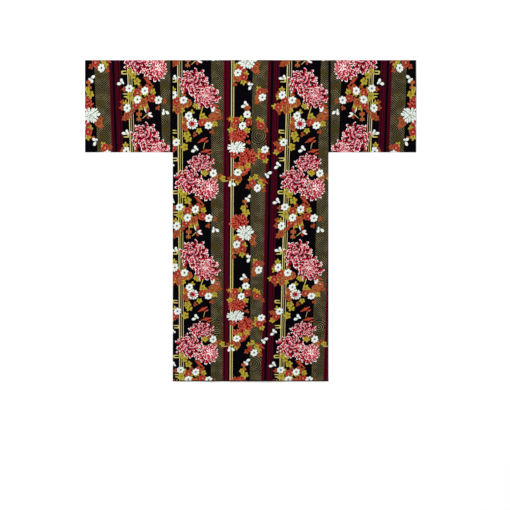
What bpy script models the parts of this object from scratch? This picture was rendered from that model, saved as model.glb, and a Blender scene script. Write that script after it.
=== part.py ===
"""A cotton yukata laid flat on its front, with its back up.

The garment is seven pieces of cloth: two body panels, each one length from the back hem over
the shoulder fold to the front hem, two overlap panels on the fronts, two sleeves folded into
flat tubes, and one folded collar band. Every piece is a thin wall. The pieces lie on each
other in the order they have on a floor: the left front with its overlap panel and collar arm,
the right front over it, and the back over both.

X runs from sleeve to sleeve, with the wearer's left at -X. +Y points from the hem to the
shoulders and +Z up. The origin is on the floor under the middle of the garment.
"""

import bpy
import numpy as np

# Driving dimensions, in metres. "Down" is a distance from the shoulder fold towards the hem.
LENGTH = 1.300
BODY_HALF = 0.315
SLEEVE_WIDTH = 0.355
SLEEVE_DROP = 0.373
NECK_HALF = 0.090
COLLAR_WIDTH = 0.055
COLLAR_END_DOWN = 0.620
COLLAR_END_PAST_CENTRE = 0.019
OVERLAP_TIP_DOWN = 0.230
OVERLAP_SEAM_AT_HEM = 0.076

# The overlap panel's point is cut off this far below its tip, where it has some width.
TIP_LOWERED = 0.014

# Walls, the gap between neighbours, and the band where a hem is turned up double. REST is the
# further room that a layer leaves where it lies over a step in the ones below.
CLOTH = 0.0012
COLLAR_THICK = 0.0020
GAP = 0.0003
REST = 0.0003
HEM_BAND = 0.018
HEM_EXTRA = 0.0006
HEM_STEP = 0.004

# Over how far a layer comes down beside the edge of what it lies on, and the power of the
# mean that joins two such slopes.
UNDER_RAMP = 0.032
BACK_RAMP = 0.060
BLEND = 6

# How finely the walls are divided: where they lie over others, which is within RELIEF_HALF of
# the centre, and elsewhere.
FOLD_STEPS = 8
BELOW_FOLD = 0.006
RELIEF_ROW_STEP = 0.026
PLAIN_ROW_STEP = 0.110
RELIEF_COLUMN_STEP = 0.010
RELIEF_HALF = 0.140
SIDE_COLUMNS = 4
SLEEVE_COLUMNS = 4
SLEEVE_ROWS = 6
NECK_ROWS = 4

# A corner sharper than this many degrees is shaded as an edge.
SHARP_FROM = 40.0
COTTON_ROUGHNESS = 0.85

# Where the four sides of one front lie, from the centre line towards and past it.
COLLAR_SLOPE = (COLLAR_END_PAST_CENTRE + NECK_HALF) / COLLAR_END_DOWN
COLLAR_ACROSS = COLLAR_WIDTH * (1 + COLLAR_SLOPE**2) ** 0.5

COLOURS = {
    "body": (0.020, 0.014, 0.022),
    "sleeve": (0.024, 0.016, 0.024),
    "overlap": (0.020, 0.014, 0.022),
    "collar": (0.028, 0.018, 0.024),
}


def eased(share):
    """0 below 0, 1 above 1, and the smooth cubic between them."""
    share = np.clip(share, 0.0, 1.0)
    return share * share * (3.0 - 2.0 * share)


def held_up(inside, ramp):
    """1 at and inside an edge, and easing to 0 at a ramp's width outside it."""
    return eased(1.0 + inside / ramp)


def stepped(first, last, step):
    """Even values from first to last, at most a step apart."""
    bands = int(np.ceil(round((last - first) / step, 6)))
    return np.linspace(first, last, bands + 1)


def through(*stations):
    """Values from each station to the next, at most the step apart that comes with it."""
    parts = [stepped(a, b, step) for (a, step), (b, _) in zip(stations, stations[1:])]
    return np.concatenate([part[:-1] for part in parts] + [parts[-1][-1:]])


def rows_from(start, step):
    """A panel's rows from a start down to the hem: fine beside the collar and its end."""
    stations = [
        (OVERLAP_TIP_DOWN, step),
        (COLLAR_END_DOWN, UNDER_RAMP / 2),
        (COLLAR_END_DOWN + BACK_RAMP, PLAIN_ROW_STEP),
        (LENGTH - HEM_BAND, HEM_STEP),
        (LENGTH - HEM_BAND + HEM_STEP, HEM_BAND),
        (LENGTH, None),
    ]
    below = [station for station in stations if station[0] > start]
    return through((start, UNDER_RAMP / 2 if start > COLLAR_END_DOWN else step), *below)[:, None]


# The plan of one front. Its own side is negative, and past the centre line is positive.


def collar_seam(down):
    """Where the collar is sewn to the front: a straight line from the neck point."""
    return -NECK_HALF + COLLAR_SLOPE * down


def free_edge(down):
    """The front's free edge: the collar's folded edge, then straight down to the hem."""
    return collar_seam(np.minimum(down, COLLAR_END_DOWN)) + COLLAR_ACROSS


def front_seam(down):
    """The body panel's front edge: the collar's seam, then the overlap panel's slanting seam."""
    tip = collar_seam(OVERLAP_TIP_DOWN)
    share = (down - OVERLAP_TIP_DOWN) / (LENGTH - OVERLAP_TIP_DOWN)
    slanting = tip + (-OVERLAP_SEAM_AT_HEM - tip) * share
    return np.where(down < OVERLAP_TIP_DOWN, collar_seam(down), slanting)


# The heights of the layers.


def cloth_at(down):
    """The cloth's thickness, which the turned-up hem makes greater."""
    return CLOTH + HEM_EXTRA * eased((down - LENGTH + HEM_BAND) / HEM_STEP)


def in_collar_arm(past, down):
    """How far inside a front's collar arm a place is, less than 0 outside it."""
    sides = np.minimum(past - collar_seam(down), free_edge(down) - past)
    return np.minimum(sides, COLLAR_END_DOWN - down)


def left_top(x, down, ramp):
    """The top of the left front, its overlap panel and its collar arm, which lie on the floor."""
    cloth = cloth_at(down) * held_up(free_edge(down) - x, ramp)
    arm = COLLAR_THICK * held_up(in_collar_arm(x, down), ramp)
    return np.maximum(cloth, arm)


def right_base(x, down):
    """The underside of the right front, which rises over the left one's free edge."""
    lifted = held_up(free_edge(down) - x, UNDER_RAMP)
    return left_top(x, down, UNDER_RAMP) + (GAP + REST) * lifted


def right_top(x, down):
    """The top of the right front, its overlap panel and its collar arm."""
    cloth = cloth_at(down) * held_up(free_edge(down) + x, BACK_RAMP)
    arm = COLLAR_THICK * held_up(in_collar_arm(-x, down), BACK_RAMP)
    shown = held_up(np.maximum(free_edge(down) + x, in_collar_arm(-x, down)), BACK_RAMP)
    return right_base(x, down) * shown + np.maximum(cloth, arm)


def neck_band_top(x, down):
    """The top of the collar's part behind the neck."""
    inside = np.minimum(NECK_HALF - np.abs(x), COLLAR_WIDTH - down)
    return COLLAR_THICK * held_up(inside, BACK_RAMP)


def back_base(x, down):
    """The underside of the back, which lies over both fronts and the collar.

    How far each of them stands above one layer of cloth is joined to the others by a high
    power mean, which follows the highest and has no sharp valley between two.
    """
    cloth = cloth_at(down)
    layers = (left_top(x, down, BACK_RAMP), right_top(x, down), neck_band_top(x, down))
    risen = sum(np.maximum(layer - cloth, 0.0) ** BLEND for layer in layers) ** (1 / BLEND)
    return cloth + risen + GAP + REST * eased(risen / CLOTH)


def placed(x, down, z):
    """Points from distances across, down from the shoulder fold, and up."""
    x, down, z = np.broadcast_arrays(x, down, z)
    return np.stack([x, LENGTH / 2 - down, z], axis=-1)


def wall(name, outer, inner, colour, cells=None, closed=False):
    """A closed wall between two grids of points, over the cells that are there.

    Each cell gives a face on either side, and each edge with a cell on one side only gives a
    rim. A closed wall's last row joins its first.
    """
    rows, columns = outer.shape[:2]
    bands = rows if closed else rows - 1
    there = np.ones((bands, columns - 1), bool) if cells is None else cells
    count = rows * columns
    faces = []
    for r, c in np.argwhere(there):
        after = (r + 1) % rows
        ring = [r * columns + c, r * columns + c + 1, after * columns + c + 1, after * columns + c]
        faces.append(ring)
        faces.append([count + i for i in reversed(ring)])
        above = there[r - 1, c] if r > 0 or closed else False
        below = there[(r + 1) % bands, c] if r < bands - 1 or closed else False
        right = there[r, c + 1] if c < columns - 2 else False
        left = there[r, c - 1] if c > 0 else False
        for side, neighbour in enumerate((above, right, below, left)):
            if not neighbour:
                start, end = ring[side], ring[(side + 1) % 4]
                faces.append([end, start, start + count, end + count])

    points = np.concatenate([outer.reshape(-1, 3), inner.reshape(-1, 3)])
    used, faces = np.unique(np.array(faces), return_inverse=True)
    points, faces = points[used], faces.reshape(-1, 4)
    a, b, c, d = (points[faces[:, i]] for i in range(4))
    volume = (a * np.cross(b, c)).sum() + (a * np.cross(c, d)).sum()
    if volume < 0:
        faces = faces[:, ::-1]

    mesh = bpy.data.meshes.new(name)
    mesh.from_pydata(points.tolist(), [], faces.tolist())
    mesh.shade_smooth()
    mesh.set_sharp_from_angle(angle=np.radians(SHARP_FROM))
    mesh.materials.append(cotton(name, colour))
    piece = bpy.data.objects.new(name, mesh)
    bpy.context.scene.collection.objects.link(piece)
    return piece


def cotton(name, colour):
    """Matt cotton cloth of one colour."""
    material = bpy.data.materials.new(name + "_cotton")
    material.use_nodes = True
    shader = material.node_tree.nodes["Principled BSDF"]
    shader.inputs["Base Color"].default_value = (*colour, 1.0)
    shader.inputs["Roughness"].default_value = COTTON_ROUGHNESS
    shader.inputs["Metallic"].default_value = 0.0
    return material


def fold(top, bottom, thickness, steps):
    """The half turns, outer and inner, that join an upper layer to a lower one at the shoulder.

    Given the heights of the outer top and outer bottom for each column, it returns the down and
    up places of both sides for each step of the turn.
    """
    radius = (top - bottom) / 2
    middle = (top + bottom) / 2
    angle = np.linspace(np.pi / 2, -np.pi / 2, steps + 1)[:, None]
    outer = (radius - radius * np.cos(angle), middle + radius * np.sin(angle))
    within = radius - thickness
    inner = (radius - within * np.cos(angle), middle + within * np.sin(angle))
    return outer, inner


def body_panel(name, side):
    """One body panel: the back half, the shoulder fold and the front, in one length.

    The rows run along the cloth from the back hem to the front hem, and the columns from the
    centre seam to the side seam. The columns nearer the centre than the neck point end at the
    shoulder, because the neck opening is there.
    """
    centre = stepped(GAP / 2, NECK_HALF, RELIEF_COLUMN_STEP)
    shoulder = stepped(NECK_HALF, RELIEF_HALF, RELIEF_COLUMN_STEP)[1:]
    sides = np.linspace(RELIEF_HALF, BODY_HALF - GAP / 2, SIDE_COLUMNS + 1)[1:]
    across = np.concatenate([centre, shoulder, sides])
    neck = len(centre) - 1

    fold_top = back_base(side * across, np.zeros_like(across)) + CLOTH
    (outer_down, outer_z), (inner_down, inner_z) = fold(fold_top, 0.0, CLOTH, FOLD_STEPS)
    start = fold_top.max() / 2 + BELOW_FOLD
    down = rows_from(start, RELIEF_ROW_STEP)

    base = back_base(side * across, down)
    back_outer = placed(side * across, down, base + cloth_at(down))
    back_inner = placed(side * across, down, base)

    # The front's columns run from its slanting inner edge to the side seam.
    front_down = rows_from(start, RELIEF_ROW_STEP if side > 0 else PLAIN_ROW_STEP)
    share = np.clip((across - NECK_HALF) / (across[-1] - NECK_HALF), 0.0, 1.0)
    inner_edge = -front_seam(front_down) + GAP / 2
    front_across = inner_edge + (across[-1] - inner_edge) * share
    under = right_base(front_across, front_down) if side > 0 else 0.0
    front_outer = placed(side * front_across, front_down, under)
    front_inner = placed(side * front_across, front_down, under + cloth_at(front_down))

    turn_outer = placed(side * across, outer_down, outer_z)
    turn_inner = placed(side * across, inner_down, inner_z)
    turn_outer[:, neck, 0] += side * GAP / 2
    turn_inner[:, neck, 0] += side * GAP / 2
    outer = np.concatenate([back_outer[::-1], turn_outer, front_outer])
    inner = np.concatenate([back_inner[::-1], turn_inner, front_inner])
    cells = np.ones((len(outer) - 1, len(across) - 1), bool)
    cells[len(down) :, :neck] = False
    return wall(name, outer, inner, COLOURS["body"], cells)


def overlap_panel(name, side):
    """The long narrow panel on a front's edge: a tip under the collar, and straight below it."""
    row_step = RELIEF_ROW_STEP if side > 0 else PLAIN_ROW_STEP
    column_step = RELIEF_COLUMN_STEP if side > 0 else COLLAR_WIDTH
    top_rows = stepped(OVERLAP_TIP_DOWN + TIP_LOWERED, COLLAR_END_DOWN, row_step)
    lower = rows_from(COLLAR_END_DOWN + GAP, row_step)
    down = np.concatenate([top_rows[:, None], lower])

    seam = front_seam(down) + GAP / 2
    at_collar = collar_seam(np.minimum(down, COLLAR_END_DOWN)) - GAP / 2
    edge = np.broadcast_to(free_edge(LENGTH), down.shape)
    first = stepped(0.0, 1.0, column_step / (at_collar - seam).max())[None, :]
    second = stepped(0.0, 1.0, column_step / (edge - at_collar).min())[None, 1:]
    past = np.concatenate(
        [seam + (at_collar - seam) * first, at_collar + (edge - at_collar) * second], axis=1
    )
    under = right_base(-past, down) if side > 0 else 0.0
    outer = placed(-side * past, down, under)
    inner = placed(-side * past, down, under + cloth_at(down))
    cells = np.ones((len(down) - 1, past.shape[1] - 1), bool)
    cells[: len(top_rows), first.shape[1] - 1 :] = False
    return wall(name, outer, inner, COLOURS["overlap"], cells)


def sleeve(name, side):
    """A straight panel folded at the shoulder line and closed below into a flat tube.

    The rows run round the tube, and the columns from the armhole to the turned-in cuff.
    """
    cuff = [SLEEVE_WIDTH - HEM_BAND, SLEEVE_WIDTH - HEM_BAND + HEM_STEP, SLEEVE_WIDTH]
    along = np.concatenate([np.linspace(GAP / 2, cuff[0], SLEEVE_COLUMNS + 1)[:-1], cuff])
    thick = CLOTH + HEM_EXTRA * eased((along - cuff[0]) / HEM_STEP)
    top = 2 * thick + GAP
    (outer_down, outer_z), (inner_down, inner_z) = fold(top, 0.0, thick, FOLD_STEPS)
    flat = np.linspace(0.0, 1.0, SLEEVE_ROWS + 1)[1:-1, None]
    span = SLEEVE_DROP - top
    lower_side = top / 2 + span * flat
    upper_side = lower_side[::-1]

    def ring(turn_down, turn_z, low, high):
        first = np.stack([turn_down, turn_z], -1)
        bottom = np.stack([lower_side, np.broadcast_to(low, lower_side.shape)], -1)
        second = np.stack([SLEEVE_DROP - turn_down, turn_z], -1)[::-1]
        back = np.stack([upper_side, np.broadcast_to(high, upper_side.shape)], -1)
        return np.concatenate([first, bottom, second, back])

    outer = ring(outer_down, outer_z, np.zeros_like(thick), top)
    inner = ring(inner_down, inner_z, thick, thick + GAP)
    x = side * (BODY_HALF + along)
    outer = placed(x, outer[..., 0], outer[..., 1])
    inner = placed(x, inner[..., 0], inner[..., 1])
    return wall(name, outer, inner, COLOURS["sleeve"], closed=True)


def collar(name):
    """The folded band: down the left front, round the back of the neck, down the right front.

    The rows run along the band. Each has one end on the seam and one on the folded edge, and
    the band turns at the two neck points with a mitre.
    """
    plain = stepped(0.0, 1.0, PLAIN_ROW_STEP / COLLAR_END_DOWN)
    relief = stepped(0.0, 1.0, RELIEF_ROW_STEP / COLLAR_END_DOWN)
    neck = np.linspace(-1.0, 1.0, NECK_ROWS + 1)[1:-1]

    # Each row is a place along the seam and one along the folded edge, as (x, down).
    def arm(share, side):
        seam_down = COLLAR_END_DOWN * share
        edge_down = COLLAR_WIDTH + (COLLAR_END_DOWN - COLLAR_WIDTH) * share
        at_seam = np.stack([-side * collar_seam(seam_down), seam_down], -1)
        at_edge = np.stack([-side * free_edge(edge_down), edge_down], -1)
        return np.stack([at_seam, at_edge], 1)

    left, right = arm(plain, -1), arm(relief, 1)
    band = (left[0] + right[0]) / 2 + (right[0] - left[0]) / 2 * neck[:, None, None]
    ends = np.concatenate([left[::-1], band, right])
    across = stepped(0.0, 1.0, RELIEF_COLUMN_STEP / COLLAR_ACROSS)[None, :, None]
    places = ends[:, :1] + (ends[:, 1:] - ends[:, :1]) * across
    x, down = places[..., 0], places[..., 1]
    base = right_base(x, down)
    base[: -len(right)] = 0.0
    return wall(
        name,
        placed(x, down, base),
        placed(x, down, base + COLLAR_THICK),
        COLOURS["collar"],
    )


def clear_scene():
    """Removes every object that is there at the start."""
    for item in list(bpy.data.objects):
        bpy.data.objects.remove(item, do_unlink=True)


clear_scene()
for side_name, side in (("left", -1), ("right", 1)):
    body_panel("body_panel_" + side_name, side)
    overlap_panel("overlap_panel_" + side_name, side)
    sleeve("sleeve_" + side_name, side)
collar("collar")
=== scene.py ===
import bmesh
import bpy
import numpy as np
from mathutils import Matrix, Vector
from mathutils.geometry import delaunay_2d_cdt


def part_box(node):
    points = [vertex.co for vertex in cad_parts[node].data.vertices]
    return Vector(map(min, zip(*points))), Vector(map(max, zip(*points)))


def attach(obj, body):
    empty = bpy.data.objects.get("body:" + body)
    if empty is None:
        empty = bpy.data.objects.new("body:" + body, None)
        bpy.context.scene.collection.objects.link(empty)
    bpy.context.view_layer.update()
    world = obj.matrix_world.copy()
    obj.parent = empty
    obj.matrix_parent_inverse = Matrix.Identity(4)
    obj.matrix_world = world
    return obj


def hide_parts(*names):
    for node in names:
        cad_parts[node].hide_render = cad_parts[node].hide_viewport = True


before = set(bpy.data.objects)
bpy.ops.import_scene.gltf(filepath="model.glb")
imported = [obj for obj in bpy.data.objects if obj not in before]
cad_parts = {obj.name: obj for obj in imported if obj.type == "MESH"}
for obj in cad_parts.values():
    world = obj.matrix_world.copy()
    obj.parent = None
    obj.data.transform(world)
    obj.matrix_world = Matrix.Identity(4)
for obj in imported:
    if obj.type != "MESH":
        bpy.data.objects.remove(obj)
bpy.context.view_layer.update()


# The body panels: two straight lengths of printed cotton, each from the back hem over the
# shoulder fold to the front hem. They are sewn together down the centre back, and each is cut
# slanting in front. The left front lies on the floor, the right one over it, the back on both.

# The outline's sizes. "Down" is from the shoulder fold towards the hem, and "past" is across a
# front, negative on its own side of the centre line.
panel_low, panel_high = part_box("body_panel_left")
sleeve_low, sleeve_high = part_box("sleeve_left")
GAP = -2 * panel_high.x
LENGTH = panel_high.y - panel_low.y
BODY_HALF = GAP / 2 - panel_low.x
SLEEVE_WIDTH = -BODY_HALF - sleeve_low.x
NECK_HALF = 0.090
COLLAR_WIDTH = 0.055
COLLAR_END_DOWN = 0.620
COLLAR_END_PAST_CENTRE = 0.019
OVERLAP_TIP_DOWN = 0.230
OVERLAP_SEAM_AT_HEM = 0.076
COLLAR_SLOPE = (COLLAR_END_PAST_CENTRE + NECK_HALF) / COLLAR_END_DOWN
COLLAR_ACROSS = COLLAR_WIDTH * (1 + COLLAR_SLOPE**2) ** 0.5

# The cloth's thickness, the turned-up hem, and how a layer comes down beside what it lies on.
CLOTH = 0.0012
COLLAR_THICK = 0.0020
REST = 0.0003
HEM_BAND = 0.018
HEM_EXTRA = 0.0006
HEM_STEP = 0.004
UNDER_RAMP = 0.032
BACK_RAMP = 0.060
BLEND = 6


def eased(share):
    """0 below 0, 1 above 1, and the smooth cubic between them."""
    share = np.clip(share, 0.0, 1.0)
    return share * share * (3.0 - 2.0 * share)


def held_up(inside, ramp):
    """1 at and inside an edge, and easing to 0 at a ramp's width outside it."""
    return eased(1.0 + inside / ramp)


def collar_seam(down):
    """Where the collar is sewn to a front: a straight line from the neck point."""
    return -NECK_HALF + COLLAR_SLOPE * down


def free_edge(down):
    """A front's free edge: the collar's folded edge, then straight down to the hem."""
    return collar_seam(np.minimum(down, COLLAR_END_DOWN)) + COLLAR_ACROSS


def front_seam(down):
    """A body panel's front edge: the collar's seam, then the overlap panel's slanting one."""
    tip = collar_seam(OVERLAP_TIP_DOWN)
    share = (down - OVERLAP_TIP_DOWN) / (LENGTH - OVERLAP_TIP_DOWN)
    slanting = tip + (-OVERLAP_SEAM_AT_HEM - tip) * share
    return np.where(down < OVERLAP_TIP_DOWN, collar_seam(down), slanting)


def cloth_at(down):
    """The cloth's thickness, which the turned-up hem makes greater."""
    return CLOTH + HEM_EXTRA * eased((down - LENGTH + HEM_BAND) / HEM_STEP)


def in_collar_arm(past, down):
    """How far inside a front's collar arm a place is, less than 0 outside it."""
    sides = np.minimum(past - collar_seam(down), free_edge(down) - past)
    return np.minimum(sides, COLLAR_END_DOWN - down)


def left_top(x, down, ramp):
    """The top of the left front and its collar arm, the higher of the two at each place."""
    cloth = cloth_at(down) * held_up(free_edge(down) - x, ramp)
    arm = COLLAR_THICK * held_up(in_collar_arm(x, down), ramp)
    return np.maximum(cloth, arm)


def right_base(x, down):
    """The underside of the right front, which rises over the left one's free edge."""
    lifted = held_up(free_edge(down) - x, UNDER_RAMP)
    return left_top(x, down, UNDER_RAMP) + (GAP + REST) * lifted


def back_base(x, down):
    """The underside of the back: one layer of cloth and a high power mean of all that stands
    above it, which follows the highest and has no sharp valley between two."""
    cloth = cloth_at(down)
    arm = in_collar_arm(-x, down)
    right = np.maximum(cloth * held_up(free_edge(down) + x, BACK_RAMP),
                       COLLAR_THICK * held_up(arm, BACK_RAMP))
    shown = held_up(np.maximum(free_edge(down) + x, arm), BACK_RAMP)
    band = held_up(np.minimum(NECK_HALF - np.abs(x), COLLAR_WIDTH - down), BACK_RAMP)
    layers = (left_top(x, down, BACK_RAMP), right_base(x, down) * shown + right,
              COLLAR_THICK * band)
    risen = sum(np.maximum(layer - cloth, 0.0) ** BLEND for layer in layers) ** (1 / BLEND)
    return cloth + risen + GAP + REST * eased(risen / CLOTH)


# The soft creases of cloth that was folded away and then laid out, in metres.
CREASES = (
    # from x, down, to x, down, half width, height
    (-0.262, 0.700, -0.085, 0.655, 0.020, 0.0019),
    (-0.075, 0.652, 0.112, 0.668, 0.026, 0.0013),
    (0.128, 0.672, 0.268, 0.640, 0.017, 0.0021),
    (-0.205, 0.905, -0.150, 1.296, 0.026, 0.0024),
    (0.088, 1.010, 0.121, 1.298, 0.021, 0.0020),
    (0.232, 0.860, 0.205, 1.180, 0.030, 0.0016),
    (-0.252, 0.420, -0.150, 0.575, 0.019, 0.0018),
    (0.243, 0.400, 0.172, 0.552, 0.024, 0.0015),
    (-0.050, 0.985, -0.066, 1.215, 0.018, 0.0012),
    (-0.150, 0.100, -0.228, 0.300, 0.022, 0.0014),
    (0.165, 0.085, 0.214, 0.262, 0.018, 0.0016),
    (-0.372, 0.070, -0.478, 0.258, 0.020, 0.0018),
    (-0.520, 0.100, -0.548, 0.330, 0.016, 0.0014),
    (-0.585, 0.205, -0.668, 0.232, 0.019, 0.0020),
    (0.385, 0.285, 0.520, 0.210, 0.022, 0.0017),
    (0.470, 0.060, 0.452, 0.190, 0.017, 0.0015),
    (0.575, 0.118, 0.668, 0.096, 0.021, 0.0021),
    (0.588, 0.330, 0.640, 0.232, 0.016, 0.0012),
)
CREASE_WANDER = 0.010
CREASE_UNEVEN = 0.25
BILLOW = 0.0005
RUNS_OFF = 0.006
FLAT_AT_SEAM = 0.030
FLAT_AT_FOLD = 0.006
RISES_WITHIN = 0.050


def from_fold(down):
    """0 close to a fold, and easing to 1 further down."""
    return eased((down - FLAT_AT_FOLD) / RISES_WITHIN)


def lift(x, down):
    """How far the upper layer is raised: a sum of ridges, each a bell across its line and a
    slightly uneven arch along it, and a low billow of two crossed sines. A ridge that ends at
    the hem or at a cuff doesn't sink there, and all sink at the shoulder and the side seams."""
    raised = BILLOW * (1.2 + np.sin(23 * x + 9 * down) * np.sin(15 * down - 7 * x + 1.0))
    for number, (x0, down0, x1, down1, half, height) in enumerate(CREASES):
        run_x, run_down = x1 - x0, down1 - down0
        length = np.hypot(run_x, run_down)
        along = ((x - x0) * run_x + (down - down0) * run_down) / length**2
        off = ((x - x0) * run_down - (down - down0) * run_x) / length
        off = off + CREASE_WANDER * np.sin(5.0 * along + number)
        arch = np.sin(np.pi * np.clip(along, 0.0, 1.0)) ** 0.7
        to_edge = min(LENGTH - down1, BODY_HALF + SLEEVE_WIDTH - abs(x1))
        if to_edge < RUNS_OFF:
            arch = np.where(along > 0.5, 1.0, arch)
        uneven = 1.0 + CREASE_UNEVEN * np.sin(9.0 * along + 2.0 * number)
        raised = raised + height * arch * uneven * np.exp(-((off / half) ** 2))
    at_sides = eased(np.abs(np.abs(x) - BODY_HALF) / FLAT_AT_SEAM)
    return raised * at_sides * from_fold(down)


# The print's flowers and leaves, strokes of ink that lie over the stripes and come again every
# REPEAT. Places are in the print's own millimetres, across from the centre back and along from
# the shoulder.
REPEAT = np.array([445.0, 690.0])
FIRST_COLUMN = np.array([-314.0, 0.0])

# How the print lies on a piece: its lean for each millimetre down the back, how wide its columns
# are and how they close up on the way down, and then places down the cloth and the places along
# the print that lie on them.
STRAIGHT = (0.0, 1.0, 0.0, (-1500.0, 1500.0), (-1500.0, 1500.0))
DOWN_THE_BACK = ((-1400.0, 0.0, 620.0, 760.0, 870.0, 1400.0),
                 (-1400.0, 0.0, 620.0, 754.0, 861.0, 1446.0))
LEFT_WAY = (-0.0095, 1.0, -0.055e-3, *DOWN_THE_BACK)
RIGHT_WAY = (-0.0190, 1.0, -0.040e-3, *DOWN_THE_BACK)

INKS = {
    "night": (3, 2, 6), "crimson": (156, 12, 34), "deep_red": (70, 2, 16),
    "rose": (170, 30, 52), "pink": (196, 92, 108), "blush": (236, 216, 214),
    "coral": (190, 112, 90), "vermilion": (156, 42, 30), "scarlet": (176, 44, 26),
    "orange": (150, 70, 36), "amber": (180, 114, 72), "cream": (204, 150, 120),
    "snow": (216, 222, 214), "mist": (128, 144, 136), "mustard": (172, 154, 50),
    "ochre": (82, 72, 24), "straw": (192, 178, 98), "rust": (74, 22, 12),
}


def linear(name_or_rgb):
    """An ink's linear colour from its name or its 0 to 255 display values."""
    rgb = INKS[name_or_rgb] if isinstance(name_or_rgb, str) else name_or_rgb
    rgb = np.array(rgb) / 255.0
    return np.where(rgb <= 0.04045, rgb / 12.92, ((rgb + 0.055) / 1.055) ** 2.4)


# The kinds of strokes, and what a stroke holds: its ends, its greatest half width, how far its
# tip is bent aside, and its two colours.
PETAL, DISC, LEAF, BAR, CURLED = range(5)
STROKE = np.dtype([("base", float, 2), ("tip", float, 2), ("half", float), ("curl", float),
                   ("shape", int), ("fill", float, 3), ("rim", float, 3)])


def strokes(base, tip, half, shape, fill, rim, curl=0.0):
    """Strokes of ink, each from its base to its tip, in units of the motif's size."""
    made = np.zeros(max(len(np.atleast_2d(base)), len(np.atleast_2d(tip))), STROKE)
    made["base"], made["tip"], made["half"], made["curl"] = base, tip, half, curl
    made["shape"], made["fill"], made["rim"] = shape, linear(fill), linear(rim)
    return made


def around(count, inner, outer, half, shape, fill, rim, turn=0.0, uneven=0.0, curl=0.0, seed=0):
    """Strokes that point outwards, evenly spaced round a ring and a little uneven in direction,
    length and bend."""
    rng = np.random.default_rng(seed)
    angle = turn + 2 * np.pi * (np.arange(count) + uneven * rng.uniform(-1, 1, count)) / count
    ray = np.stack([np.cos(angle), np.sin(angle)], 1)
    reach = outer * (1 + 0.35 * uneven * rng.uniform(-1, 1, count))[:, None]
    return strokes(ray * inner, ray * reach, half, shape, fill, rim,
                   curl * rng.uniform(-1, 1, count))


def spot(radius, fill, rim=None):
    """A round spot at the middle."""
    return strokes([[-radius, 0.0]], [[radius, 0.0]], radius, DISC, fill, rim or fill)


def mum(outer, middle, inner, rim, behind, seed):
    """A full mum: a dark ground, then rings of short curled petals, each ring shorter and paler
    than the one it lies on, so that petals fill the flower to its middle."""
    # how many petals, from where to where, their half width and their ink
    rings = ((19, 0.72, 1.00, 0.108, outer), (18, 0.58, 0.87, 0.102, outer),
             (16, 0.43, 0.72, 0.096, middle), (12, 0.30, 0.57, 0.088, middle),
             (9, 0.14, 0.41, 0.080, inner), (5, 0.00, 0.26, 0.076, inner))
    parts = [spot(0.84, behind)]
    for number, (count, start, end, half, fill) in enumerate(rings):
        parts.append(around(count, start, end, half, CURLED, fill, rim, turn=0.37 * number,
                            uneven=0.5, curl=0.22, seed=seed + number))
    return np.concatenate(parts)


def fan(angles, inner, outer, half, shape, fill, rim):
    """Strokes from near one point towards the given directions, in degrees."""
    angle = np.radians(angles)
    ray = np.stack([np.cos(angle), np.sin(angle)], 1)
    return strokes(ray * inner, ray * np.broadcast_to(outer, len(angle))[:, None], half, shape,
                   fill, rim)


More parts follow.
